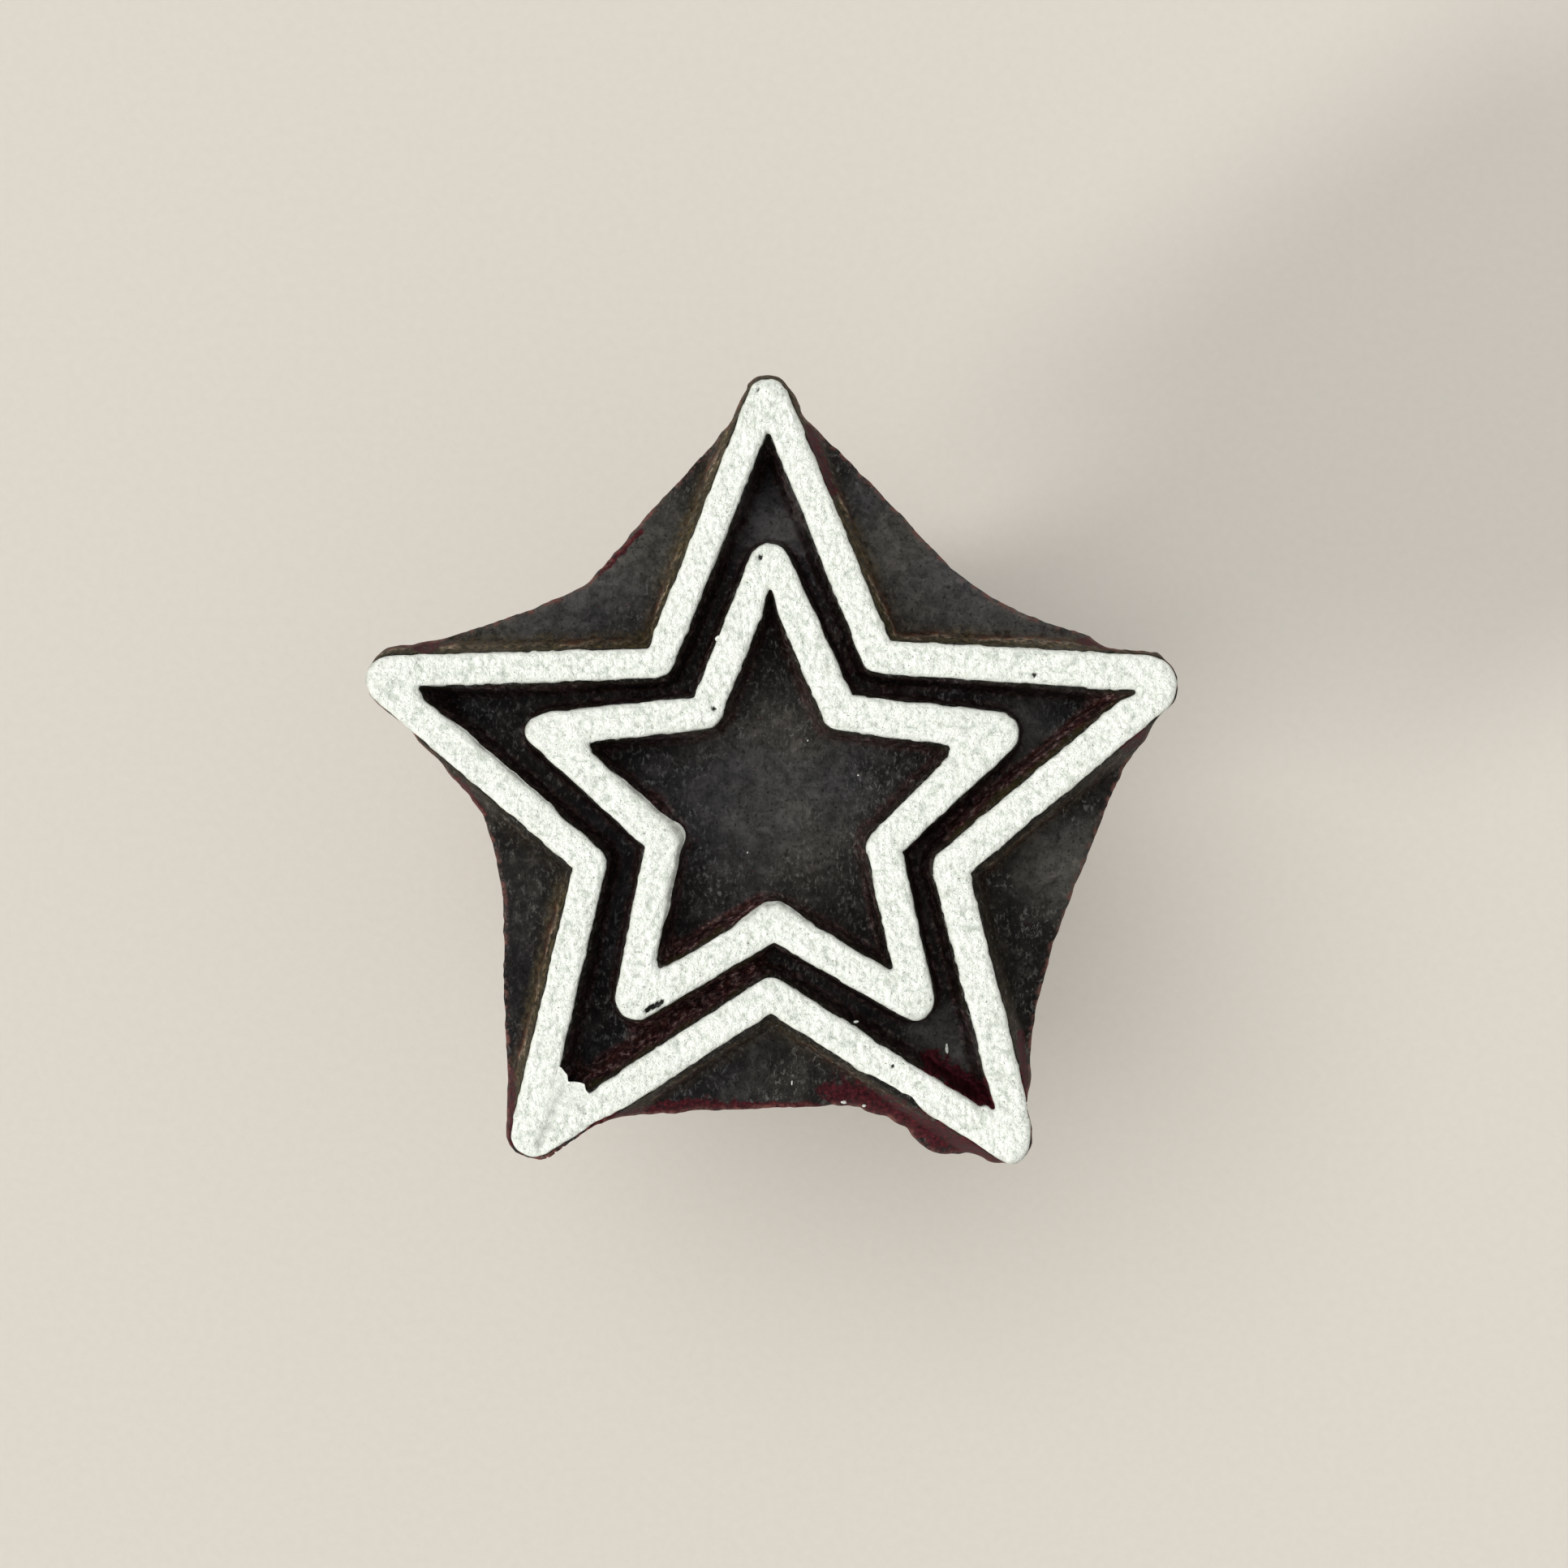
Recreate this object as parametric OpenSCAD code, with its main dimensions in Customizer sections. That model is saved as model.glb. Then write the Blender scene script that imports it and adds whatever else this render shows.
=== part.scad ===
// Star block stamp: a hand-carved hardwood block with two raised star lines, on a turned handle.
// It stands on the flat end of its handle with the printing face up.
// Millimetres. +Z is up, towards the printing face, and +Y runs to the star's top point.
// The origin is the centre of the handle's flat end.

/* [Star lines] */
// Reach of the outer star's points from its centre, on the middle of the line
outer_point_r = 26.5; // [25:0.1:27.5]
// Reach of the outer star's notches from its centre
outer_notch_r = 11.5; // [11:0.1:12]
// Width of the outer line's printing face
outer_line_w = 2.1; // [1.8:0.05:2.5]
// Reach of the inner star's points from its centre
inner_point_r = 15.2; // [14.5:0.1:15.8]
// Reach of the inner star's notches from its centre
inner_notch_r = 7.4; // [7:0.1:7.8]
// Width of the inner line's printing face
inner_line_w = 2.15; // [1.8:0.05:2.4]
// Height of the raised lines' wood above the cut-away ground
relief_h = 3.5; // [2.5:0.1:4.5]
// Lean of the walls round the outside of the outer star, in degrees
outer_wall_lean = 15; // [8:1:18]
// Lean of the walls between the stars and inside the inner one, in degrees
inner_wall_lean = 8; // [4:1:14]
// Thickness of the white paint on the printing face
paint_t = 0.3; // [0.2:0.05:0.4]

/* [Block] */
// Thickness of the block from its back to the ground between the lines
block_t = 15; // [14:0.5:20]
// Fall of the ground towards the block's rim, in degrees
rim_fall = 6; // [3:1:8]

/* [Handle] */
// Height of the handle, from its flat end to the block's back
handle_h = 28; // [26:0.5:34]
// Diameter of the flat end that the stamp stands on
end_d = 22; // [18:0.5:24]
// Largest diameter of the knob
knob_d = 27; // [25:0.5:30]
// Diameter of the waist that the fingers close on
waist_d = 15; // [14:0.5:18]
// Diameter of the foot against the block's back
foot_d = 24; // [20:0.5:26]

/* [Dowel] */
// Diameter of the dowel that joins the handle to the block
dowel_d = 8; // [6:0.5:8]
// Depth of the blind hole in the block's back
block_hole = 10; // [8:0.5:10]
// Depth of the blind hole in the handle
handle_hole = 14; // [10:0.5:16]

/* [Hidden] */
$fn = 96;

// Heights
ground_z = handle_h + block_t;     // ground between the raised lines
wood_z = ground_z + relief_h;      // top of the raised wood
print_z = wood_z + paint_t;        // printing face

// The knife's departures from a true star, one for each corner: point, notch, point ...
// Each is [sideways, upwards, the line's width there as a part of its usual width]
outer_cut = [[-0.3, -0.6, 0.95], [-0.3, -0.5, 0.9], [0.1, 0.1, 0.95], [-0.3, 0.1, 0.95], [0.1, -0.1, 1],
             [-0.1, -0.1, 1], [-0.1, -0.1, 1], [0, -0.2, 1.05], [-0.1, -0.1, 1.1], [-0.2, -0.1, 1]];
inner_cut = [[-0.2, 0.4, 0.95], [0.2, -0.2, 0.95], [0.2, 0, 1], [0.2, 0.1, 0.95], [0.1, -0.2, 0.95],
             [0.1, 0.2, 1], [0.1, -0.1, 1], [-0.2, -0.2, 1], [-0.2, -0.1, 1.15], [-0.2, -0.2, 1.05]];

// Rounding on the line's middle at each point, and at every notch
outer_soft = [0.25, 0.5, 0.5, 0.55, 0.85];
inner_soft = [0.2, 0.2, 0.2, 0.2, 0.3];
notch_soft = 0.1;
sharpest_r = 0.15;     // no corner is cut sharper than this
corner_steps = 6;      // straight stretches in each rounded corner

// The block's five sawn sides, anticlockwise from the top point, each a smooth curve through its points
sawn_sides = [
    [[-2.2, 25.2], [-4.3, 22.6], [-8.3, 18.2], [-11.3, 14.8], [-12.5, 13.8], [-17.2, 11.9], [-24.5, 9.7]],
    [[-23.4, 5], [-20.5, 1.9], [-18.2, -1.6], [-17.2, -6.5], [-17.2, -12], [-16.8, -21.5]],
    [[-14, -21.2], [-9.7, -20], [0.9, -19.3], [4.5, -19.4], [7.6, -20.4], [10.7, -22.5], [14.5, -21.9]],
    [[16.4, -19.5], [16.6, -14.4], [18, -8.6], [20.5, -2.2], [21.8, 0.9], [24, 4.9]],
    [[23.4, 9.2], [21.3, 10.4], [14.3, 13.3], [10.5, 16.3], [3.3, 23.6], [1.4, 25.4]],
];
saw_steps = 5;         // straight stretches between two points of a sawn side
blend_in = 2;          // how far the raised lines run down into the block
fall_r = 13;           // the ground starts to fall at this distance from the centre

// Handle profile
knob_z = 5;            // height of the knob's widest ring
waist_z = 15.5;        // height of the waist's narrowest ring
foot_band = 3;         // straight band at the foot
edge_ease = 0.8;       // rounding of the foot's edge
profile_step = 0.75;   // height between two rings of the profile
bead_groove = 0.5;     // radius of the turned groove above the foot band

// Dowel fit
glue_gap = 0.05;       // radial room for glue
end_gap = 1;           // free depth at each end of the dowel
flutes = 8;
flute_r = 0.5;
dowel_ease = 0.8;      // bevel at each end

overlap = 0.01;        // cuts run past a face by this much

function polar(r, a) = [r * cos(a), r * sin(a)];
function unit(v) = v / norm(v);
function outward(v) = [v.y, -v.x];      // right-hand normal, which points out of an anticlockwise outline
function turned(v, a) = [v.x * cos(a) - v.y * sin(a), v.x * sin(a) + v.y * cos(a)];
function before(points, i) = points[(i + len(points) - 1) % len(points)];
function after(points, i) = points[(i + 1) % len(points)];

// A hand-cut star: the corners of its centre line (points at even places, notches at odd ones),
// the line's relative width at each corner, and the rounding of its five points
function star(point_r, notch_r, cut, soft) =
    [[for (i = [0:9]) polar(i % 2 == 0 ? point_r : notch_r, 90 + 36 * i) + [cut[i].x, cut[i].y]],
     [for (c = cut) c.z],
     soft];

// Corner i after both of its edges have moved out by d
function mitre(points, i, d) =
    let (a = outward(unit(points[i] - before(points, i))),
         b = outward(unit(after(points, i) - points[i])))
    points[i] + d * (a + b) / (1 + a * b);

// A corner at p, entered along u and left along v, rounded to radius r
function rounded_corner(p, u, v, r) =
    let (turn = atan2(cross(u, v), u * v),
         start = p - u * r * tan(abs(turn) / 2),
         spoke = sign(turn) * r * outward(u))
    [for (k = [0:corner_steps]) start - spoke + turned(spoke, turn * k / corner_steps)];

// The line that runs at distance d outside the star's centre line
function star_outline(star, d) =
    let (moved = [for (i = [0:9]) mitre(star[0], i, d * star[1][i])])
    [for (i = [0:9])
        let (u = unit(moved[i] - before(moved, i)),
             v = unit(after(moved, i) - moved[i]),
             r = i % 2 == 0 ? star[2][i / 2] + d : notch_soft - d)
        each rounded_corner(moved[i], u, v, max(sharpest_r, r))];

// Catmull-Rom curve through the points of an open side
function sawn_curve(side) =
    let (last = len(side) - 1)
    [for (i = [0:last - 1], k = [0:saw_steps - 1])
        let (t = k / saw_steps,
             a = side[max(i - 1, 0)], b = side[i], c = side[i + 1], d = side[min(i + 2, last)])
        0.5 * (2 * b + t * (c - a) + t * t * (2 * a - 5 * b + 4 * c - d)
               + t * t * t * (3 * b - a - 3 * c + d)),
     side[last]];

outer_star = star(outer_point_r, outer_notch_r, outer_cut, outer_soft);
inner_star = star(inner_point_r, inner_notch_r, inner_cut, inner_soft);

// A closed band along a star. The section lists [distance from the centre line, height]
module band(star, section) {
    loops = [for (s = section) [for (p = star_outline(star, s.x)) [p.x, p.y, s.y]]];
    count = len(loops[0]);
    rows = len(section);
    polyhedron(
        points = [for (loop = loops) each loop],
        faces = [for (k = [0:rows - 1], i = [0:count - 1])
            let (a = k * count + i, b = k * count + (i + 1) % count,
                 c = (k + 1) % rows * count + (i + 1) % count, d = (k + 1) % rows * count + i)
            each [[a, d, c], [a, c, b]]]);
}

function wall_run(height, lean) = height * tan(lean);

// A raised line of wood, which runs down into the block
module raised_line(star, w, outside_lean, inside_lean) {
    outside_foot = w / 2 + wall_run(relief_h + blend_in, outside_lean);
    inside_foot = w / 2 + wall_run(relief_h + blend_in, inside_lean);
    foot_z = ground_z - blend_in;
    band(star, [[outside_foot, foot_z], [w / 2, wood_z], [-w / 2, wood_z], [-inside_foot, foot_z]]);
}

// The white paint on a raised line's face, with an eased edge
module line_paint(star, w) {
    edge_z = print_z - paint_t / 2;
    edge = w / 2 - paint_t / 2;
    color("white")
        band(star, [[w / 2, wood_z], [w / 2, edge_z], [edge, print_z],
                      [-edge, print_z], [-w / 2, edge_z], [-w / 2, wood_z]]);
}

// The block seen from above: sawn sides that meet in the outer star's points
module block_outline() {
    point_reach = outer_line_w / 2 + wall_run(relief_h, outer_wall_lean);
    polygon([for (side = sawn_sides) each sawn_curve(side)]);
    polygon(star_outline(outer_star, point_reach));
}

// What is cut away above the falling ground near the rim
module rim_cut() {
    far = 40;
    rotate_extrude()
        polygon([[fall_r, ground_z], [far, ground_z - (far - fall_r) * tan(rim_fall)],
                 [far, wood_z], [fall_r, wood_z]]);
}

module dowel_hole(from_z, depth) {
    translate([0, 0, from_z])
        cylinder(d = dowel_d + 2 * glue_gap, h = depth);
}

module carved_block() {
    color([0.14, 0.11, 0.11])
        difference() {
            union() {
                difference() {
                    translate([0, 0, handle_h]) linear_extrude(block_t) block_outline();
                    rim_cut();
                }
                intersection() {
                    union() {
                        raised_line(outer_star, outer_line_w, outer_wall_lean, inner_wall_lean);
                        raised_line(inner_star, inner_line_w, inner_wall_lean, inner_wall_lean);
                    }
                    translate([0, 0, handle_h]) linear_extrude(block_t + relief_h) block_outline();
                }
            }
            dowel_hole(handle_h - overlap, block_hole + overlap);
        }
}

module outer_star_paint() {
    line_paint(outer_star, outer_line_w);
}

module inner_star_paint() {
    line_paint(inner_star, inner_line_w);
}

// Radius of the handle at height z: a rounded end, a knob, a waist and a flared foot
function ease(t) = (1 - cos(180 * t)) / 2;
function handle_r(z) =
    z < knob_z ? end_d / 2 + (knob_d - end_d) / 2 * sqrt(1 - pow(1 - z / knob_z, 2)) :
    z < waist_z ? waist_d / 2 + (knob_d - waist_d) / 2 * (1 - ease((z - knob_z) / (waist_z - knob_z))) :
    waist_d / 2 + (foot_d - waist_d) / 2 * ease((z - waist_z) / (handle_h - foot_band - waist_z));

module handle() {
    band_z = handle_h - foot_band;
    foot_r = foot_d / 2;
    color([0.33, 0.15, 0.1])
        difference() {
            rotate_extrude()
                polygon([
                    [0, 0],
                    for (z = [0:profile_step:band_z - profile_step / 2]) [handle_r(z), z],
                    [foot_r, band_z],
                    [foot_r, handle_h - edge_ease],
                    [foot_r - edge_ease, handle_h],
                    [0, handle_h],
                ]);
            translate([0, 0, band_z])
                rotate_extrude() translate([foot_r, 0]) circle(r = bead_groove, $fn = 24);
            dowel_hole(handle_h - handle_hole, handle_hole + overlap);
        }
}

module handle_dowel() {
    low = handle_h - handle_hole + end_gap;
    high = handle_h + block_hole - end_gap;
    r = dowel_d / 2;
    color("burlywood")
        difference() {
            rotate_extrude()
                polygon([[0, low], [r - dowel_ease, low], [r, low + dowel_ease],
                         [r, high - dowel_ease], [r - dowel_ease, high], [0, high]]);
            for (i = [0:flutes - 1])
                translate([r * cos(360 * i / flutes), r * sin(360 * i / flutes), low - overlap])
                    cylinder(r = flute_r, h = high - low + 2 * overlap, $fn = 24);
        }
}

carved_block();
outer_star_paint();
inner_star_paint();
handle();
handle_dowel();
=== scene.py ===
"""Looks of the star block stamp: carved and stained block, painted star lines, turned handle.

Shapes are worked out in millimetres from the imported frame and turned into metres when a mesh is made.
"""

import math

import bpy
import numpy as np
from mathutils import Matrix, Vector
from mathutils.geometry import tessellate_polygon
from mathutils.kdtree import KDTree


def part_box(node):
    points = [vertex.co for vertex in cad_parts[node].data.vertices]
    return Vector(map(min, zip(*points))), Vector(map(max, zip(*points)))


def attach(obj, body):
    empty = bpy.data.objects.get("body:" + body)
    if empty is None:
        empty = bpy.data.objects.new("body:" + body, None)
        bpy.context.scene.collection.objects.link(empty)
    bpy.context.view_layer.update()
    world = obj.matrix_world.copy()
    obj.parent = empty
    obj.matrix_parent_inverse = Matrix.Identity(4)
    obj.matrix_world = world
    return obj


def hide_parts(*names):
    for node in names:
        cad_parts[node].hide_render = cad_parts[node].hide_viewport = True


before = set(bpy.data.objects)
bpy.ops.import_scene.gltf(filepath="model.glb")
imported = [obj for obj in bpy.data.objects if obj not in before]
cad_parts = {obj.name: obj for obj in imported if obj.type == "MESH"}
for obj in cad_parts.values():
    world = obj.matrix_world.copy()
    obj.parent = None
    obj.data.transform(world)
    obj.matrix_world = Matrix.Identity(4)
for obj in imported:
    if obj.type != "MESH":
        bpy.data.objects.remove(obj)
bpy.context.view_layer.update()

MM = 0.001
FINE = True

# ---------------------------------------------------------------- driving sizes, in mm

GRID = 0.16 if FINE else 0.3  # pitch of the carved face's mesh
RELIEF = 3.5  # wood of the raised lines above the ground
OUTER_LEAN = math.radians(15)  # walls round the outside of the outer star
INNER_LEAN = math.radians(8)  # walls between the stars and inside the inner one
RIM_FALL = math.radians(6)
FALL_R = 13.0  # the ground starts to fall at this distance from the centre
PAINT_STEP = 0.105 if FINE else 0.25
HANDLE_STEP = 0.13 if FINE else 0.4

block_low, block_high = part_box("carved_block")
paint_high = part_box("outer_star_paint")[1]
BACK_Z = block_low.z / MM
WOOD_Z = block_high.z / MM
PRINT_Z = paint_high.z / MM
PAINT_T = PRINT_Z - WOOD_Z
GROUND_Z = WOOD_Z - RELIEF


# ---------------------------------------------------------------- noise


def lattice(ix, iy, iz, seed):
    """A repeatable number from -1 to 1 for each whole-number point."""
    h = ix * 374761393 + iy * 668265263 + iz * 1440662683 + seed * 974634777
    h = (h ^ (h >> 13)) * 1274126177 & 0xFFFFFFFF
    h = (h ^ (h >> 16)) * 2246822519 & 0xFFFFFFFF
    return (h ^ (h >> 15)) / 0x7FFFFFFF - 1.0


def noise(points, size, seed=0):
    """Smooth noise from about -1 to 1. size is the feature size, one number or one per axis, in mm."""
    q = np.asarray(points, float) / size
    if q.shape[1] == 2:
        q = np.column_stack([q, np.full(len(q), 0.5)])
    base = np.floor(q).astype(np.int64)
    t = q - base
    t = t * t * t * (t * (t * 6 - 15) + 10)
    total = 0.0
    for corner in range(8):
        step = np.array([corner & 1, corner >> 1 & 1, corner >> 2 & 1])
        share = np.prod(np.where(step, t, 1 - t), axis=1)
        i = base + step
        total = total + share * lattice(i[:, 0], i[:, 1], i[:, 2], seed)
    return total


def smooth_step(x, low, high):
    t = np.clip((x - low) / (high - low), 0, 1)
    return t * t * (3 - 2 * t)


def near(points, spot, reach, fade=1.0):
    """1 at a spot, fading to 0 at reach over that part of it. spot is (x, y), or two ends of a stretch."""
    spot = np.atleast_2d(np.array(spot, float))
    a, b = spot[0], spot[-1]
    d = b - a
    t = np.clip((points - a) @ d / max(d @ d, 1e-9), 0, 1)
    gap = np.linalg.norm(points - a - t[:, None] * d, axis=1)
    return 1 - smooth_step(gap, reach * (1 - fade), reach)


# ---------------------------------------------------------------- outlines in plan


def flat_outlines(node, z):
    """Closed outlines of a CAD node's flat faces at height z, anticlockwise, the largest first."""
    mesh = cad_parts[node].data
    mesh.calc_loop_triangles()
    co = np.array([v.co[:] for v in mesh.vertices]) / MM
    ids, keys = {}, []
    for p in np.round(co, 3):
        key = tuple(p + 0.0)
        keys.append(ids.setdefault(key, len(ids)))
    place = np.array(list(ids))
    follower = {}
    for t in mesh.loop_triangles:
        if all(abs(co[v][2] - z) < 0.02 for v in t.vertices):
            i, j, k = (keys[v] for v in t.vertices)
            for a, b in ((i, j), (j, k), (k, i)):
                if follower.get(b) and a in follower[b]:
                    follower[b].remove(a)
                else:
                    follower.setdefault(a, []).append(b)
    outlines = []
    while any(follower.values()):
        start = next(a for a, b in follower.items() if b)
        chain = [start]
        while follower[chain[-1]]:
            chain.append(follower[chain[-1]].pop())
            if chain[-1] == start:
                break
        loop = place[chain[:-1]][:, :2]
        outlines.append(loop if area(loop) > 0 else loop[::-1])
    return sorted(outlines, key=area, reverse=True)


def area(loop):
    x, y = loop.T
    return 0.5 * np.sum(x * np.roll(y, -1) - y * np.roll(x, -1))


def softened(values, passes):
    """Values along a closed loop, averaged with their neighbours."""
    for _ in range(passes):
        values = 0.5 * values + 0.25 * (np.roll(values, 1, 0) + np.roll(values, -1, 0))
    return values


def resampled(loop, step):
    """The loop with evenly spaced points."""
    closed = np.vstack([loop, loop[:1]])
    run = np.concatenate([[0], np.cumsum(np.linalg.norm(np.diff(closed, axis=0), axis=1))])
    at = np.linspace(0, run[-1], max(8, round(run[-1] / step)), endpoint=False)
    return np.column_stack([np.interp(at, run, closed[:, k]) for k in (0, 1)])


def outward(loop):
    along = np.roll(loop, -1, 0) - np.roll(loop, 1, 0)
    along /= np.maximum(np.linalg.norm(along, axis=1, keepdims=True), 1e-9)
    return np.column_stack([along[:, 1], -along[:, 0]])


class Outline:
    """A closed outline that gives signed distances, negative inside."""

    def __init__(self, loop):
        self.loop = loop
        self.tree = KDTree(len(loop))
        for i, p in enumerate(loop):
            self.tree.insert((p[0], p[1], 0), i)
        self.tree.balance()

    def closest(self, points):
        """The closest point of the outline to each point, and how far away it is."""
        found = np.array([self.tree.find((x, y, 0))[1] for x, y in points], int)
        before, here, after = (np.roll(self.loop, turn, 0)[found] for turn in (1, 0, -1))
        best, best_gap = here.copy(), np.full(len(points), np.inf)
        for a, b in ((before, here), (here, after)):
            d = b - a
            t = np.clip(np.sum((points - a) * d, 1) / np.maximum(np.sum(d * d, 1), 1e-12), 0, 1)
            c = a + t[:, None] * d
            gap = np.linalg.norm(points - c, axis=1)
            closer = gap < best_gap
            best[closer], best_gap[closer] = c[closer], gap[closer]
        return best, best_gap

    def side(self, xs, ys):
        """-1 for grid points inside and 1 for those outside."""
        a, b = self.loop, np.roll(self.loop, -1, 0)
        result = np.ones((len(xs), len(ys)), np.int8)
        for j, y in enumerate(ys):
            cut = (a[:, 1] > y) != (b[:, 1] > y)
            p, q = a[cut], b[cut]
            crossings = np.sort(p[:, 0] + (y - p[:, 1]) / (q[:, 1] - p[:, 1]) * (q[:, 0] - p[:, 0]))
            result[np.searchsorted(crossings, xs) % 2 == 1, j] = -1
        return result


def matched(outside, inside):
    """The inside loop, started across the line from the outside loop's first point."""
    gaps = [np.sum((outside - np.roll(inside, -k, 0)) ** 2) for k in range(len(inside))]
    return np.roll(inside, -int(np.argmin(gaps)), 0)


# Where the carved lines depart from their even width, for the outside edge and then the inside edge of
# each star: place, reach, move in x and y
NUDGED = {
    "outer_star_paint": (
        [(((16.9, -19.0), (16.9, -20.8)), 1.8, (-0.3, 0.0)), ((14.9, -22.0), 1.2, (0.0, -0.25))],
        [((13.4, -18.9), 0.9, (0.0, 0.35)), ((21.9, 7.1), 1.0, (0.5, 0.0)),
         ((-22.1, 7.2), 1.0, (0.4, 0.0))],
    ),
    "inner_star_paint": (
        [((-15.0, 4.6), 1.6, (-0.25, 0.0))],
        [((-0.2, 12.8), 1.3, (0.0, 0.65)), ((-11.6, 3.85), 0.9, (0.25, 0.0)),
         ((11.3, 3.7), 1.0, (-0.45, 0.0)), ((-7.3, -10.2), 1.0, (0.25, 0.3))],
    ),
}


def line_edges(node):
    """Both edges of a painted line, with as many points each and each pair across the line."""
    outside, inside = flat_outlines(node, WOOD_Z)
    inside = matched(outside, inside)
    rows = ([], [])
    for i in range(len(outside)):
        j = (i + 1) % len(outside)
        longest = max(np.linalg.norm(outside[j] - outside[i]), np.linalg.norm(inside[j] - inside[i]))
        steps = max(1, round(longest / PAINT_STEP))
        for k in range(steps):
            for row, loop in zip(rows, (outside, inside)):
                row.append(loop[i] + (loop[j] - loop[i]) * k / steps)
    edges = [softened(np.array(rows[0]), 6), softened(np.array(rows[1]), 3)]
    for edge, moves in zip(edges, NUDGED[node]):
        for place, reach, move in moves:
            edge += near(edge, place, reach)[:, None] * np.array(move)
    return edges


# ---------------------------------------------------------------- meshes


def mesh_object(name, vertices, faces, smooth=True):
    """A mesh object from millimetre vertices."""
    mesh = bpy.data.meshes.new(name)
    mesh.from_pydata((np.asarray(vertices) * MM).tolist(), [], [list(map(int, f)) for f in faces])
    mesh.validate()
    mesh.polygons.foreach_set("use_smooth", [smooth] * len(mesh.polygons))
    mesh.update()
    obj = bpy.data.objects.new(name, mesh)
    bpy.context.scene.collection.objects.link(obj)
    return obj


def paint_attribute(obj, name, values):
    layer = obj.data.attributes.new(name, "FLOAT", "POINT")
    layer.data.foreach_set("value", np.asarray(values, np.float32))


def rings(count_along, count_rows, first=0, closed_rows=False):
    """Quads between rows of a closed loop. Row k holds vertices first + k * count_along onwards."""
    i = np.arange(count_along)
    j = (i + 1) % count_along
    faces = []
    for k in range(count_rows if closed_rows else count_rows - 1):
        a = first + k * count_along
        b = first + (k + 1) % count_rows * count_along
        faces.append(np.column_stack([a + i, a + j, b + j, b + i]))
    return np.vstack(faces)


# ---------------------------------------------------------------- the carved block

# Places, in mm from the centre in plan, where the stain has worn off down to the maroon wood,
# each with how far the wear reaches
WORN = [
    (((-16.6, -17.0), (-16.2, -20.6)), 1.0),
    (((-13.0, -19.6), (-4.0, -19.2)), 1.1),
    (((-4.0, -19.2), (3.0, -19.2)), 0.7),
    (((4.4, -18.6), (13.2, -21.8)), 2.6),
    (((22.0, 4.0), (22.9, 4.5)), 1.2),
    (((2.3, 23.6), (3.7, 19.6)), 0.8),
    (((-23.2, 10.3), (-21.3, 10.0)), 0.9),
    (((19.6, 10.4), (21.2, 10.0)), 0.8),
    (((10.0, -16.2), (13.6, -18.4)), 1.6),
    (((-8.4, 17.4), (-11.0, 14.8)), 0.45),
    (((-19.8, 1.6), (-18.6, -0.6)), 0.8),
    (((15.6, -14.6), (15.8, -18.4)), 0.8),
]

# Where the black stain on the ground has faded to grey: place, reach, how far
FADED = [
    (((-17.0, 11.5), (-7.0, 16.5)), 6.0, 0.5),
    (((7.0, 17.0), (17.0, 11.5)), 6.5, 0.62),
    ((0.0, 0.5), 10.0, 0.48),
    ((-0.2, 17.6), 3.6, 1.0),
    (((10.2, -14.0), (11.6, -15.6)), 2.6, 0.6),
    ((18.5, -4.0), 5.0, 0.72),
    ((-17.5, -6.0), 5.0, 0.1),
    ((0.0, -16.5), 6.0, 0.12),
    ((16.0, 4.5), 3.5, 0.45),
]

# Outer walls that are as black as the ground: place, reach
BLACK_WALLS = [
    (((-11.0, -19.0), (0.0, -12.6)), 3.0),
    (((0.0, -12.6), (10.0, -19.0)), 2.5),
    (((-24.0, 4.5), (-12.5, -4.0)), 2.0),
    (((24.0, 5.0), (12.5, -3.6)), 1.8),
    (((12.5, -3.6), (16.2, -16.0)), 1.8),
]

# How much of the wall's colour there is, by distance outside the raised lines over the wall's run
OUTER_WALL = ([0.0, 0.4, 0.9, 1.2, 1.7], [1.0, 1.0, 0.8, 0.5, 0.0])
INNER_WALL = ([0.0, 1.1, 1.7], [1.0, 0.9, 0.0])

# Walls that lean further than the rest: place, reach, extra run per height
LEANING = [
    (((-11.9, -16.9), (-1.4, -9.9)), 1.5, 0.13),
    (((21.6, 6.6), (11.6, -1.6)), 1.5, 0.13),
    (((-6.8, -9.5), (-1.0, -6.3)), 1.2, 0.10),
    (((-8.4, -8.5), (-7.2, 0.5)), 1.2, 0.06),
]

# Stretches of the rim that are rounded or broken off further than the rest: place, reach, width
BROKEN_RIM = [
    (((5.0, -19.6), (12.6, -22.6)), 2.4, 1.5),
    (((-12.0, -20.4), (-3.0, -19.4)), 2.0, 0.6),
    (((21.2, 0.8), (23.4, 4.2)), 1.6, 0.9),
    (((-20.4, 1.6), (-18.6, -1.2)), 1.4, 0.8),
    (((-9.0, 17.8), (-11.4, 14.6)), 1.5, 0.7),
    (((3.0, 23.4), (5.0, 21.4)), 1.2, 0.7),
]

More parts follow.
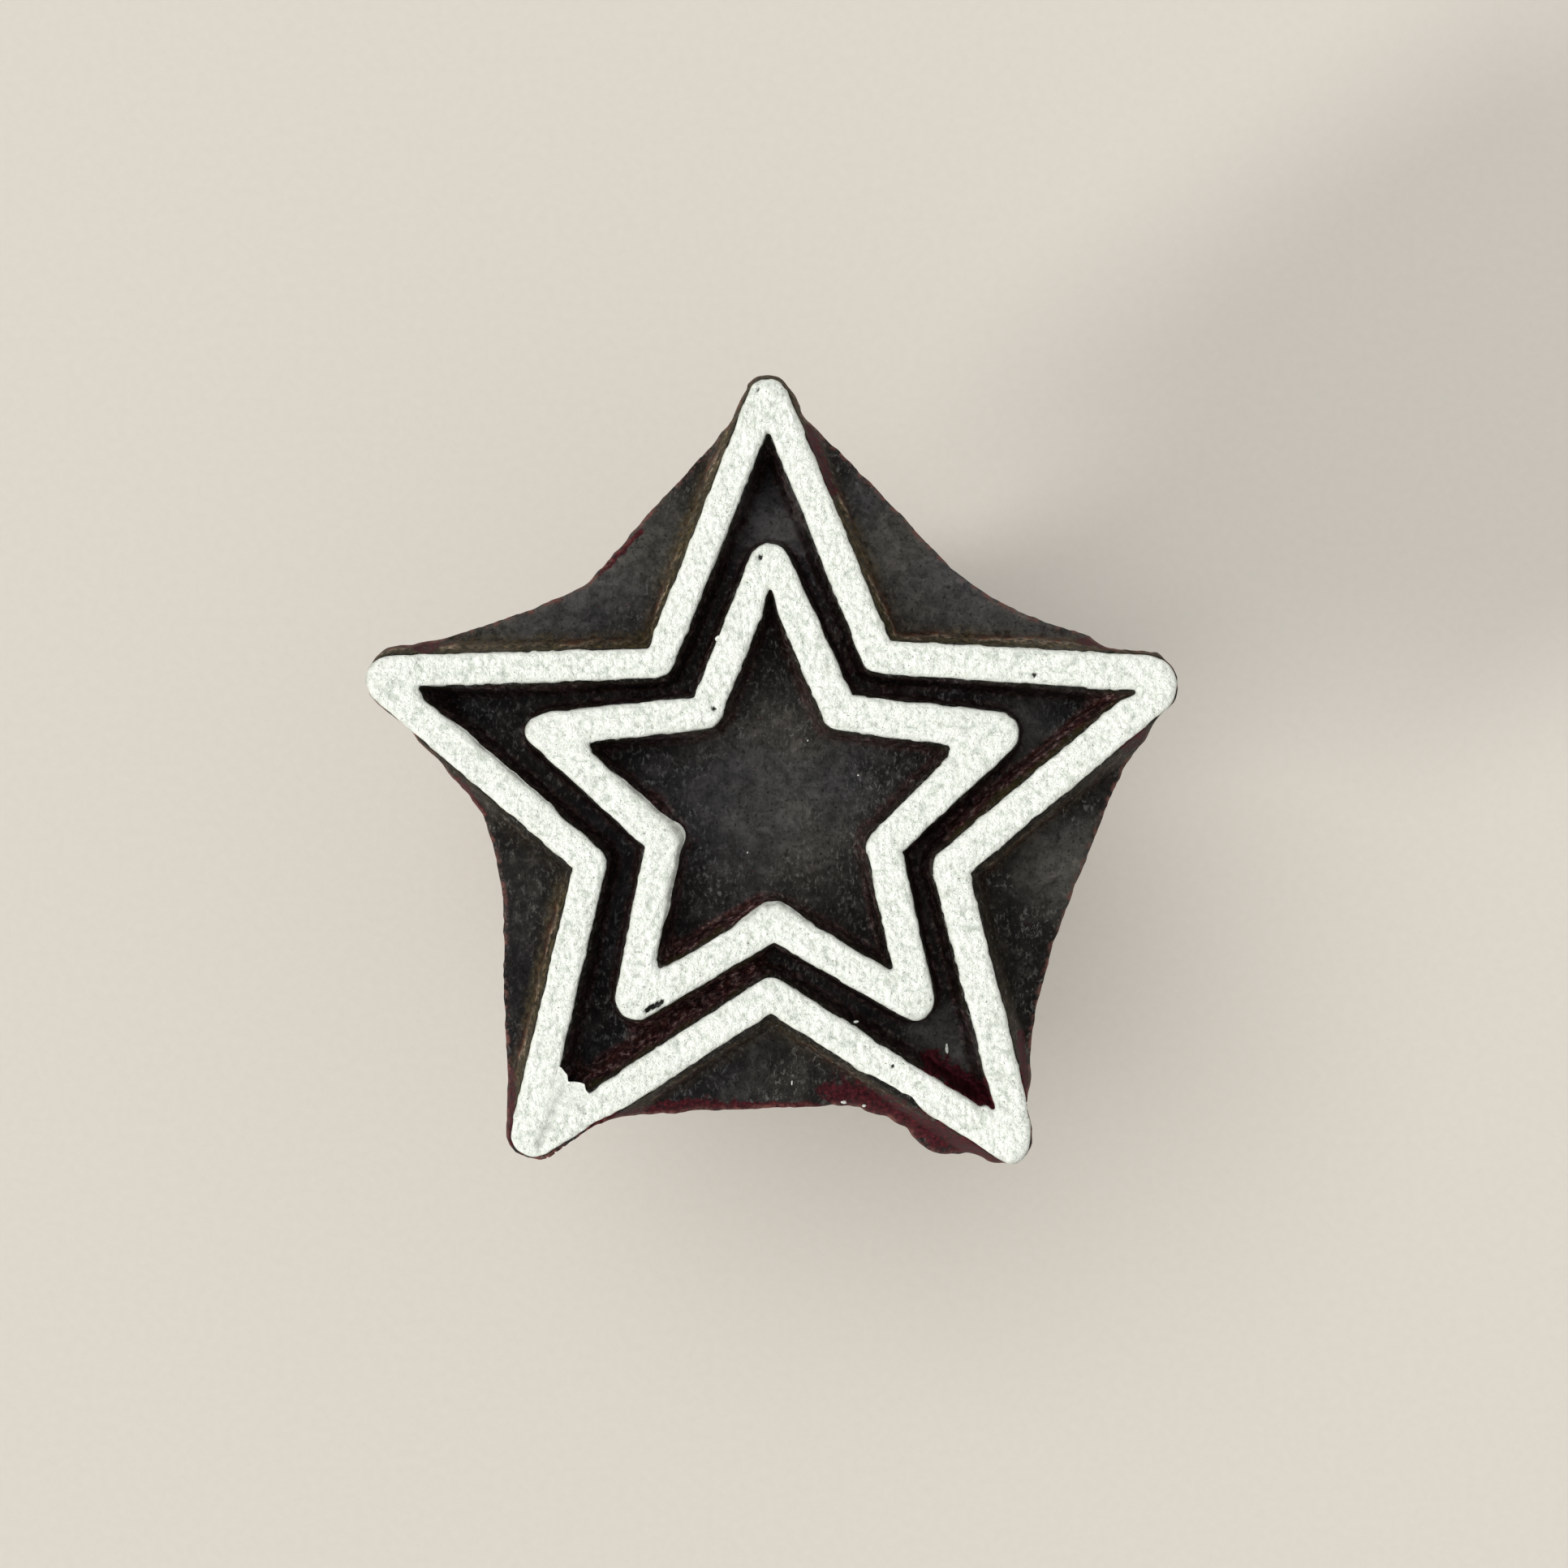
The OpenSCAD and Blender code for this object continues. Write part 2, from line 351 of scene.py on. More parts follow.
# Stretches of the rim that are cut back under a raised line, so that its wall is steep: place, reach, cut
CUT_BACK = [
    (((-16.4, -22.5), (-15.4, -22.9)), 2.0, 1.05),
    (((-15.4, -22.9), (-10.6, -20.5)), 2.0, 1.05),
    (((-25.5, 8.8), (-25.9, 7.2)), 1.5, 0.75),
    (((-25.9, 7.2), (-22.9, 4.2)), 1.5, 0.85),
    (((-22.9, 4.0), (-21.2, 2.6)), 1.2, 0.45),
    (((21.4, 10.9), (24.8, 10.6)), 1.2, 0.85),
    (((24.8, 10.6), (26.1, 8.2)), 1.2, 0.85),
    (((26.4, 8.0), (24.6, 4.9)), 1.4, 0.95),
    (((16.7, -18.4), (17.1, -20.8)), 1.6, 1.0),
    (((17.1, -20.8), (14.9, -23.0)), 1.4, 0.85),
    (((-17.6, -20.0), (-16.6, -22.4)), 1.5, 0.4),
    (((9.5, 16.6), (18.0, 11.6)), 2.5, 0.2),
    (((-2.0, 26.2), (-2.8, 24.4)), 1.1, 0.4),
    (((1.3, 26.6), (2.3, 24.7)), 1.1, 0.4),
]


def ragged_rim(loop):
    """The block's outline as the saw and wear have left it."""
    loop = softened(resampled(loop, 0.1), 4)
    broken = sum(near(loop, place, reach) * width for place, reach, width in BROKEN_RIM)
    bite = 0.05 + 0.07 * noise(loop, 1.3, 11) + 0.05 * noise(loop, 0.35, 12)
    bite += 0.16 * np.clip(broken, 0, 1.5) * noise(loop, 0.6, 13)
    bite = bite + np.max([cut * near(loop, place, reach) for place, reach, cut in CUT_BACK], axis=0)
    ragged = loop - outward(loop) * bite[:, None]
    margin = 0.02
    return np.clip(ragged, loop.min(0) + margin, loop.max(0) - margin)


def extra_lean(p):
    """How much further the walls near each place run out, per mm of height."""
    return sum(near(p, place, reach) * extra for place, reach, extra in LEANING)


def run_per_height(p, to_star):
    """How far the walls of the raised lines run out, per mm of height."""
    return np.where(to_star > 0, math.tan(OUTER_LEAN), math.tan(INNER_LEAN)) + extra_lean(p)


def wood_height(p, to_lines, to_rim, to_star):
    """Height of the carved wood: distances are outside the lines, inside the rim, outside the star."""
    # The ground falls towards the rim, with shallow scoops along the knife's way
    r = np.linalg.norm(p, axis=1)
    ground = GROUND_Z - math.tan(RIM_FALL) * np.maximum(0, r - FALL_R)
    ground += 0.07 * noise(p, 2.3, 21) + 0.06 * noise(p, 0.9, 22) + 0.05 * noise(p, 0.4, 23)
    along_knife = p @ np.array([[0.83, -0.56], [0.56, 0.83]])
    ground += 0.07 * noise(along_knife, np.array([3.4, 0.8]), 24)

    # The walls lean, with the knife's wandering and small splinters
    wander = 0.10 * noise(p, 1.7, 31) + 0.09 * noise(p, 0.6, 32) + 0.05 * noise(p, 0.3, 33)
    wander *= smooth_step(to_lines, 0, 0.45)
    run = np.maximum(0, to_lines + wander)
    wall = WOOD_Z - run / run_per_height(p, to_star)
    blend = 0.5 + 0.35 * noise(p, 0.8, 34)
    share = np.clip(0.5 + 0.5 * (wall - ground) / blend, 0, 1)
    z = ground + (wall - ground) * share + blend * share * (1 - share) * 0.5

    # The rim: rounded, and more so where it is broken
    width = 0.35 + 0.12 * noise(p, 2.0, 41)
    for place, reach, extra in BROKEN_RIM:
        width = width + extra * near(p, place, reach)
    t = np.clip(1 - to_rim / width, 0, 1)
    rounding = width * (1 - np.sqrt(1 - 0.92 * t * t)) * 1.1
    return z - rounding * smooth_step(to_lines, -0.1, 0.3)


def carved_face(rim, lines):
    """The face's mesh: its vertices, triangles and rim loop, and each vertex's distances outside the lines,
    inside the rim and outside the outer star."""
    low, high = rim.loop.min(0) - 2 * GRID, rim.loop.max(0) + 2 * GRID
    xs, ys = np.arange(low[0], high[0], GRID), np.arange(low[1], high[1], GRID)
    nx, ny = len(xs), len(ys)
    p = np.stack(np.meshgrid(xs, ys, indexing="ij"), -1).reshape(-1, 2)
    outlines = [rim, *[edge for line in lines for edge in line]]
    sides = [o.side(xs, ys).reshape(-1) for o in outlines]
    number = np.arange(nx * ny).reshape(nx, ny)
    steps = np.vstack([
        np.column_stack([number[:-1].ravel(), number[1:].ravel()]),
        np.column_stack([number[:, :-1].ravel(), number[:, 1:].ravel()]),
    ])

    # A grid edge that crosses an outline has its closer end moved onto the outline
    free = np.ones(len(p), bool)
    for outline, side in zip(outlines, sides):
        crossing = steps[side[steps[:, 0]] * side[steps[:, 1]] < 0]
        ends = np.unique(crossing)
        target, gap = outline.closest(p[ends])
        gap_of = np.zeros(len(p))
        gap_of[ends] = gap
        target_of = np.zeros((len(p), 2))
        target_of[ends] = target
        first = gap_of[crossing[:, 0]] <= gap_of[crossing[:, 1]]
        chosen = np.unique(np.where(first, crossing[:, 0], crossing[:, 1]))
        chosen = chosen[free[chosen]]
        p[chosen] = target_of[chosen]
        side[chosen] = 0
        free[chosen] = False

    keep = sides[0] <= 0
    distance = np.zeros((len(outlines), len(p)))
    kept = np.flatnonzero(keep)
    for row, outline, side in zip(distance, outlines, sides):
        row[kept] = outline.closest(p[kept])[1] * side[kept]
    to_rim = -distance[0]
    to_lines = np.minimum.reduce([
        np.maximum(distance[1 + 2 * k], -distance[2 + 2 * k]) for k in range(len(lines))
    ])
    z = np.zeros(len(p))
    to_star = distance[1]
    z[kept] = wood_height(p[kept], to_lines[kept], to_rim[kept], to_star[kept])

    a, b = number[:-1, :-1].ravel(), number[1:, :-1].ravel()
    c, d = number[1:, 1:].ravel(), number[:-1, 1:].ravel()
    cell = keep[a] | keep[b] | keep[c] | keep[d]
    a, b, c, d = a[cell], b[cell], c[cell], d[cell]
    bad_ac = np.any([s[a] * s[c] < 0 for s in sides], axis=0)
    bad_bd = np.any([s[b] * s[d] < 0 for s in sides], axis=0)
    use_bd = bad_ac | (~bad_bd & (abs(z[b] - z[d]) < abs(z[a] - z[c])))
    triangles = np.vstack([
        np.column_stack([a, b, c])[~use_bd], np.column_stack([a, c, d])[~use_bd],
        np.column_stack([a, b, d])[use_bd], np.column_stack([b, c, d])[use_bd],
    ])
    inside = keep[triangles].all(1) & (sides[0][triangles] < 0).any(1)
    triangles = triangles[inside]

    used, triangles = np.unique(triangles, return_inverse=True)
    triangles = triangles.reshape(-1, 3)
    loop = rim_loop(triangles)
    vertices = np.column_stack([p[used], z[used]])
    return vertices, triangles, loop, (to_lines[used], to_rim[used], to_star[used])


def rim_loop(triangles):
    """The vertices round the edge of a sheet of triangles, in order."""
    edges = np.vstack([triangles[:, [0, 1]], triangles[:, [1, 2]], triangles[:, [2, 0]]])
    there = set(map(tuple, edges.tolist()))
    following = {a: b for a, b in there if (b, a) not in there}
    start = next(iter(following))
    loop = [start]
    while following[loop[-1]] != start:
        loop.append(following[loop[-1]])
    if len(loop) != len(following):
        raise ValueError(f"the face's edge is not one loop: {len(loop)} of {len(following)}")
    return np.array(loop)


# The block's sides, as rows of vertices at these shares of the way from the rim down to the back
SIDE_ROWS = [0.008, 0.02, 0.035, 0.055, 0.08, *np.linspace(0.11, 0.97, 24)]
RIM_HEIGHT = 1.2  # the rim's raggedness dies out over about this height
SAW_CUT = 0.07  # the saw's marks lie this far inside the outline
BACK_EASE = 0.35  # rounding of the back's edge
BORE_DEPTH = 10.0
BORE_SEGMENTS = 64


def block_sides(edge):
    """Rows of vertices below the rim: ragged at the top, sawn below, and eased into the back."""
    smooth_edge = softened(edge[:, :2], 40)
    normal = outward(smooth_edge)
    depth = edge[:, 2] - BACK_Z
    rows = []
    for share in SIDE_ROWS:
        down = share * depth
        xy = smooth_edge + (edge[:, :2] - smooth_edge) * np.exp(-down / RIM_HEIGHT)[:, None]
        z = edge[:, 2] - down
        at = np.column_stack([xy, z])
        saw = 0.05 * noise(at, np.array([0.5, 0.5, 9.0]), 51)
        saw = saw + 0.04 * noise(at, np.array([1.6, 1.6, 4.0]), 52)
        saw = (saw - SAW_CUT) * smooth_step(down, 0, 0.8)
        rows.append(np.column_stack([xy + normal * saw[:, None], z]))
    for turn in (30, 60, 90):
        angle = math.radians(turn)
        inset = BACK_EASE * (1 - math.cos(angle)) + SAW_CUT
        z = np.full(len(edge), BACK_Z + BACK_EASE * (1 - math.sin(angle)))
        rows.append(np.column_stack([smooth_edge - normal * inset, z]))
    return rows


def block_back(border, border_first, bore, first):
    """The back and its blind bore for the dowel, as vertices numbered from first on, and faces."""
    bore_r = np.linalg.norm(bore, axis=1).mean()
    turn = np.linspace(0, 2 * math.pi, BORE_SEGMENTS, endpoint=False)
    circle = np.column_stack([bore_r * np.cos(turn), bore_r * np.sin(turn)])
    vertices = [np.column_stack([circle, np.full(BORE_SEGMENTS, BACK_Z + up)]) for up in (0, BORE_DEPTH)]
    vertices.append(np.array([[0.0, 0.0, BACK_Z + BORE_DEPTH]]))

    flat = [[Vector((x, y, 0)) for x, y in ring] for ring in (border, circle)]
    cap = np.array(tessellate_polygon(flat))
    corners = np.vstack([border, circle])[cap]
    a, b = corners[:, 1] - corners[:, 0], corners[:, 2] - corners[:, 0]
    up = a[:, 0] * b[:, 1] - a[:, 1] * b[:, 0] > 0
    cap[up] = cap[up][:, ::-1]
    cap = np.where(cap < len(border), cap + border_first, cap - len(border) + first)

    k = np.arange(BORE_SEGMENTS)
    end_first = first + BORE_SEGMENTS
    centre = np.full(BORE_SEGMENTS, end_first + BORE_SEGMENTS)
    end = np.column_stack([end_first + k, centre, end_first + (k + 1) % BORE_SEGMENTS])
    return vertices, [*cap.tolist(), *rings(BORE_SEGMENTS, 2, first).tolist(), *end.tolist()]


def mark_block(block, points, below, distances):
    """Stores where the stain is worn or faded, where the rim is rubbed and carries a painted highlight, and
    where the walls are. below is the depth under the rim.
    """
    to_lines, to_rim, to_star = distances
    xy = points[:, :2]
    n_top = len(to_lines)
    face = xy[:n_top]
    on_face = np.arange(len(points)) < n_top

    # The stain has worn off at a few places, a little round the rim, and more and more down the sides
    bare = np.max([near(xy, place, reach) for place, reach in WORN], axis=0)
    # Near the rim: real wear to maroon, and also the mask of the rim's painted highlight
    rim_wear_and_highlight = 1 - smooth_step(to_rim, 0.05, 0.4)
    bare[:n_top] = np.maximum(bare[:n_top], 0.4 * rim_wear_and_highlight)
    bare[n_top:] = np.clip(0.55 + 0.16 * below[n_top:], 0, 1.6)
    faded = sum(near(xy, place, reach) * share for place, reach, share in FADED)

    # The walls, from their top (0) to their foot (1) and beyond. Inside the outer star, those that lean
    # further show the most colour
    foot = np.maximum(0, to_lines + 0.12 * noise(face, 0.7, 55) * smooth_step(to_lines, 0, 0.3))
    foot = foot / (RELIEF * run_per_height(face, to_star))
    black = np.max([near(face, place, reach) for place, reach in BLACK_WALLS], axis=0)
    outer = np.interp(foot, *OUTER_WALL) * (1 - 0.85 * black)
    inner = np.interp(foot, *INNER_WALL) * np.clip(0.4 + 8 * extra_lean(face), 0, 1)
    wall = np.where(to_star > 0, outer, inner) * (to_lines > 0)

    below_face = np.zeros(len(points) - n_top)
    paint_attribute(block, "bare", bare)
    paint_attribute(block, "faded", np.clip(faded, 0, 1) * on_face)
    paint_attribute(block, "sawn", ~on_face)
    # The rim's band is rubbed and also carries a painted highlight, standing for light catching the rounded
    # rim
    on_top = {"rubbed_and_highlit": rim_wear_and_highlight, "wall": wall, "foot": 0.5 * foot, "inside": to_star <= 0}
    for name, values in on_top.items():
        paint_attribute(block, name, np.concatenate([np.clip(values, 0, 1), below_face]))


def build_block():
    outline, bore = flat_outlines("carved_block", BACK_Z)[:2]
    rim = Outline(ragged_rim(outline))
    lines = []
    for node in ("outer_star_paint", "inner_star_paint"):
        lines.append([Outline(resampled(edge, 0.1)) for edge in line_edges(node)])
    top, triangles, loop, distances = carved_face(rim, lines)

    edge = top[loop]
    sides = block_sides(edge)
    count, rows, first = len(loop), len(sides), len(top)
    last_row = first + (rows - 1) * count
    back, back_faces = block_back(sides[-1][:, :2], last_row, bore, last_row + count)

    i = np.arange(count)
    j = (i + 1) % count
    joint = np.column_stack([loop[j], loop[i], first + i, first + j])
    side_faces = rings(count, rows, first)[:, ::-1]
    points = np.vstack([top, *sides, *back])
    faces = [*triangles.tolist(), *joint.tolist(), *side_faces.tolist(), *back_faces]
    block = mesh_object("carved_wood", points, faces)

    below = np.zeros(len(points))
    below[first:last_row + count] = np.tile(edge[:, 2], rows) - points[first:last_row + count, 2]
    mark_block(block, points, below, distances)
    return block


# ---------------------------------------------------------------- the painted lines

# Where the white paint is missing, in mm: place, reach
CHIPS = {
    "outer": [((16.15, 8.05), 0.16), ((7.4, -16.1), 0.12), ((-0.9, 25.7), 0.1)],
    "inner": [(((-7.75, -12.6), (-6.9, -12.15)), 0.2), ((-0.75, 15.3), 0.17), ((-3.6, 6.0), 0.14)],
}
# Where the paint has run over an inside edge and down the wall: place, reach, how far
RUN_OVER = [
    (((-9.4, 1.2), (-6.0, -1.7)), 1.3, 0.24),
    (((-6.0, -1.7), (-6.5, -6.4)), 1.3, 0.24),
    (((-1.8, -6.6), (2.2, -6.2)), 1.4, 0.26),
    (((-19.4, 4.6), (-14.2, 0.0)), 1.3, 0.18),
    (((9.0, -1.8), (8.3, -4.4)), 1.0, 0.16),
]
# Where the paint is thick and lumpy, and drawn back from the outer edge: place, reach
LUMPY = [(((-13.6, -20.2), (-10.6, -18.6)), 2.2), (((6.6, -15.4), (8.6, -17.0)), 1.0)]
# The fold where the paint of the two limbs meets at the lower left: place, reach
CREASE = (((-12.9, -17.8), (-14.5, -21.0)), 0.55)


# The film's section from under the outside edge, over the top, to under the inside edge: part of the half
# width, height as a part of the film's thickness
ROUNDED = [(part, (1 - part ** 5) ** 0.5) for part in (0.997, 0.98, 0.945, 0.9, 0.84, 0.77)]
OUTER_HALF = [(1.0, -0.9), (1.03, -0.3), *ROUNDED]
SECTION = [*OUTER_HALF, *[(part, 1.0) for part in np.linspace(0.70, -0.70, 17)],
           *[(-part, height) for part, height in OUTER_HALF[::-1]]]
EDGE_GAP = 0.03  # the film stops this far inside the edge of the wood


def film_row(part, height, middle, across, half, chips):
    """One row of the film's vertices, with each vertex's three attributes: how thin the paint is, its
    painted shade in the hollows between lumps, and its painted shade along the edges.
    """
    xy = middle + across * (half * part)[:, None]
    sideways = abs(part) ** 3
    sign = 1 if part > 0 else -1
    lumpy = sum(near(middle, place, reach) for place, reach in LUMPY)
    over = (sign < 0) * sum(near(xy, place, reach) * far for place, reach, far in RUN_OVER)
    crease = near(xy, *CREASE)
    # Painted shade along the film's rounded edges, on paint run down a wall and in the crease
    edge = np.minimum(1, abs(part) ** 6 + 3.0 * over * sideways + 0.8 * crease)

    shift = 0.06 * noise(xy, 0.9, 61 + sign) + 0.045 * noise(xy, 0.4, 63 + sign)
    shift = shift + lumpy * (0.15 * noise(xy, 0.65, 65 + sign) - (0.3 if sign > 0 else 0.05)) + over
    xy = xy + across * (sign * sideways * (shift - EDGE_GAP))[:, None]
    lift = PAINT_T * height
    thin, hollow_shade = np.zeros(len(xy)), np.zeros(len(xy))
    if height > 0:
        bulge, grain = abs(noise(xy, 0.42, 71)), abs(noise(xy, 0.24, 72))
        rough = 0.13 * bulge + 0.07 * grain + 0.04 * noise(xy, 1.6, 73) - 0.11
        rough = rough + lumpy * (0.06 * noise(xy, 0.6, 74) - 0.03) - 0.14 * crease
        # Painted shade: how deep each point lies in a hollow between the film's lumps, greyed in the
        # material
        hollow_shade = (1 - smooth_step(bulge, 0, 0.3)) * 0.8 + (1 - smooth_step(grain, 0, 0.22)) * 0.4
        hollow_shade = hollow_shade * (1 - abs(part) ** 8)
        for place, reach in chips:
            thin = np.maximum(thin, near(xy, place, reach * (1 + 0.5 * noise(xy, 0.25, 75)), 0.2))
        overhang = np.maximum(0, over * sideways - EDGE_GAP - half * (1 - abs(part)))
        lift = (lift + rough * height) * (1 - thin) - 0.06 * thin - 1.3 * overhang
    else:
        lift = lift + 0.1 * noise(xy, 1.1, 76)
    return np.column_stack([xy, np.minimum(WOOD_Z + lift, PRINT_Z)]), thin, hollow_shade, edge


def paint_film(name, node, chips, extras):
    """The dried paint on a raised line: a closed band with a rough top and soft, uneven edges.

    extras are further closed bits of the same paint, each as (vertices, faces).
    """
    outside, inside = line_edges(node)
    half = np.linalg.norm(outside - inside, axis=1) / 2
    across = (outside - inside) / (2 * half)[:, None]
    middle = (outside + inside) / 2
    rows, thin, hollow_shades, edges = zip(*[film_row(*at, middle, across, half, chips) for at in SECTION])
    band = np.vstack(rows)
    faces = rings(len(outside), len(rows), closed_rows=True).tolist()
    vertices, faces = joined([(band, faces), *extras])
    film = mesh_object(name, vertices, faces)
    spare = vertices[len(band):, :2]
    # Painted shade on the corner's skin of paint and on the crumbs, deeper along the crease
    spare_shade = 0.4 + 0.5 * near(spare, *CREASE)
    paint_attribute(film, "thin", np.concatenate([*thin, np.zeros(len(spare))]))
    paint_attribute(film, "hollow_shade", np.concatenate([*hollow_shades, np.zeros(len(spare))]))
    paint_attribute(film, "edge", np.concatenate([*edges, spare_shade]))
    return film


def blob(centre, size, seed):
    """A crumb of paint: vertices and faces of a small lumpy ball."""
    around, levels = 10, 7
    turn = np.linspace(0, 2 * math.pi, around, endpoint=False)
    points = [(0, 0, -1)]
    for level in np.linspace(-80, 80, levels):
        c, s = math.cos(math.radians(level)), math.sin(math.radians(level))
        points += [(c * math.cos(t), c * math.sin(t), s) for t in turn]
    points.append((0, 0, 1))
    points = np.array(points)
    points *= 1 + 0.3 * noise(points, 0.8, seed)[:, None]
    faces = [[0, 1 + (i + 1) % around, 1 + i] for i in range(around)]
    faces += rings(around, levels, 1).tolist()
    last = len(points) - 1
    faces += [[last, last - around + i, last - around + (i + 1) % around] for i in range(around)]
    return points * size + centre, faces


def joined(parts):
    """Several (vertices, faces) as one."""
    vertices, faces, first = [], [], 0
    for v, f in parts:
        vertices.append(v)
        faces += [[i + first for i in face] for face in f]
        first += len(v)
    return np.vstack(vertices), faces


# The skin of paint that fills the outer line's inner corner at the lower left: the corner, tucked under
# the line, and the torn edge from the left limb to the lower one
WEB_CORNER = (-14.5, -19.9)
WEB_EDGE = [(-14.2, -15.8), (-13.4, -15.95), (-13.0, -16.15), (-12.65, -16.6), (-12.6, -17.0),
            (-12.2, -17.05), (-11.65, -17.2), (-11.5, -17.6), (-11.0, -18.2)]
WEB_T = 0.15


def web():
    """The skin of paint in the corner, as vertices and faces."""
    corner, edge = np.array(WEB_CORNER), np.array(WEB_EDGE)
    run = np.concatenate([[0], np.cumsum(np.linalg.norm(np.diff(edge, axis=0), axis=1))])
    at = np.linspace(0, run[-1], 48)
    torn = np.column_stack([np.interp(at, run, edge[:, k]) for k in (0, 1)])
    out = torn - corner
    out /= np.linalg.norm(out, axis=1, keepdims=True)
    torn += out * (0.08 * noise(torn, 0.35, 91))[:, None]
    reach = np.linspace(0.15, 1, 30)
    top = np.vstack([corner + (torn - corner) * u for u in reach])
    u = np.repeat(reach, len(torn))
    v = np.tile(at / run[-1], len(reach))
    sag = 0.07 + 0.10 * u ** 3 * np.sin(math.pi * v)
    sag = sag + 0.05 * noise(top, 0.45, 92) + 0.03 * noise(top, 0.22, 93) + 0.14 * near(top, *CREASE)
    upper = np.column_stack([top, WOOD_Z + 0.9 * PAINT_T - sag])
    lower = upper - [0, 0, WEB_T]
    count = len(upper)
    index = np.arange(count).reshape(len(reach), len(torn))
    corners = (index[:-1, :-1], index[1:, :-1], index[1:, 1:], index[:-1, 1:])
    quads = np.column_stack([corner.ravel() for corner in corners])
    border = np.concatenate([index[0, :-1], index[:-1, -1], index[-1, :0:-1], index[:0:-1, 0]])
    ahead = np.roll(border, -1)
    sides = np.column_stack([border + count, ahead + count, ahead, border])
    faces = [*quads.tolist(), *(quads[:, ::-1] + count).tolist(), *sides.tolist()]
    return np.vstack([upper, lower]), faces


# Crumbs of paint stuck to the wood: place, depth below the top of the raised wood, half sizes, all in mm
CRUMBS = [
    ((-3.3, 10.35), 0.0, (0.28, 0.2, 0.16)),
    ((-3.05, 10.0), 0.1, (0.16, 0.14, 0.1)),
    ((6.0, 19.0), RELIEF + 0.9, (0.14, 0.1, 0.08)),
    ((4.5, -18.9), RELIEF + 1.0, (0.2, 0.13, 0.1)),
    ((5.8, -19.15), RELIEF + 1.2, (0.13, 0.09, 0.08)),
    ((11.0, -15.4), RELIEF - 0.05, (0.1, 0.3, 0.08)),
    ((5.15, -13.4), 0.5, (0.15, 0.1, 0.12)),
    ((7.3, -15.0), RELIEF + 0.1, (0.08, 0.06, 0.05)),
    ((1.2, -17.6), RELIEF + 0.4, (0.05, 0.14, 0.04)),
    ((5.4, 1.9), RELIEF, (0.06, 0.06, 0.05)),
    ((-1.6, -3.0), RELIEF, (0.05, 0.07, 0.04)),
    ((2.2, 4.1), RELIEF, (0.05, 0.05, 0.04)),
]


def crumbs():
    return [blob(np.array([x, y, WOOD_Z - below]), np.array(size), 95 + i)
            for i, ((x, y), below, size) in enumerate(CRUMBS)]


# ---------------------------------------------------------------- the handle


HANDLE_BORE_R = 4.05
HANDLE_BORE_DEPTH = 14.0
HANDLE_SMOOTH = 1.3  # the CAD profile's corners are softened over this length
SOLID_R = 0.4  # the innermost ring of vertices round the axis


def handle_profile():
    """The CAD handle's outer profile with softened corners: radii, heights, and its radius at the top."""
    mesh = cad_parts["handle"].data
    co = np.array([v.co[:] for v in mesh.vertices]) / MM
    radius = np.linalg.norm(co[:, :2], axis=1)
    levels = np.unique(np.round(co[:, 2], 2))
    reach = np.array([radius[abs(co[:, 2] - z) < 0.02].max() for z in levels])
    outer = reach > HANDLE_BORE_R + 2
    levels, reach = levels[outer], reach[outer]
    z = np.arange(0, levels.max(), HANDLE_STEP)
    r = np.interp(z, levels, reach)
    window = np.hanning(2 * round(HANDLE_SMOOTH / HANDLE_STEP) + 3)[1:-1]
    ends = len(window) // 2
    padded = np.concatenate([2 * r[0] - r[ends:0:-1], r, 2 * r[-1] - r[-2:-ends - 2:-1]])
    return np.convolve(padded, window / window.sum(), "valid"), z, reach[-1], levels.max()


def build_handle():
    r, z, top_r, top_z = handle_profile()
    segments = 224 if FINE else 96
    turn = np.linspace(0, 2 * math.pi, segments, endpoint=False)
    circle = np.column_stack([np.cos(turn), np.sin(turn)])

    # From the middle of the flat end, up the outside, over the top and down the bore
    bore_floor = top_z - HANDLE_BORE_DEPTH
    profile = [(k, 0.0) for k in np.linspace(SOLID_R, r[0] - 0.15, 26)]
    profile += list(zip(r, z))[1:]
    profile += [(k, top_z) for k in (top_r - 0.2, 9.0, 6.0, HANDLE_BORE_R)]
    profile += [(HANDLE_BORE_R, bore_floor), (SOLID_R, bore_floor)]
    rows = []
    for r_k, z_k in profile:
        ring = np.column_stack([circle * r_k, np.full(segments, z_k)])
        if 0 < z_k < top_z and r_k > HANDLE_BORE_R:
            height = np.array([[z_k, 0.0]])
            marks = 0.02 * noise(height, 0.35, 81) + 0.03 * noise(height, 1.4, 82)
            wear = 0.05 * noise(ring, 5.0, 83) + 0.015 * noise(ring, np.array([0.6, 0.6, 5.0]), 84)
            ring[:, :2] += circle * np.minimum(marks + wear - 0.1, 0)[:, None]
        elif z_k == 0 and r_k < r[0]:
            ring[:, 2] += 0.015 * (1 + math.sin(r_k * 9))
        rows.append(ring)
    vertices = np.vstack([*rows, [[0, 0, 0.02]], [[0, 0, bore_floor]]])
    low, high = len(vertices) - 2, len(vertices) - 1
    last = (len(rows) - 1) * segments
    faces = rings(segments, len(rows)).tolist()
    k = np.arange(segments)
    ahead = (k + 1) % segments
    faces += np.column_stack([np.full(segments, low), ahead, k]).tolist()
    faces += np.column_stack([np.full(segments, high), last + k, last + ahead]).tolist()
    return mesh_object("turned_handle", vertices, faces)


# ---------------------------------------------------------------- materials


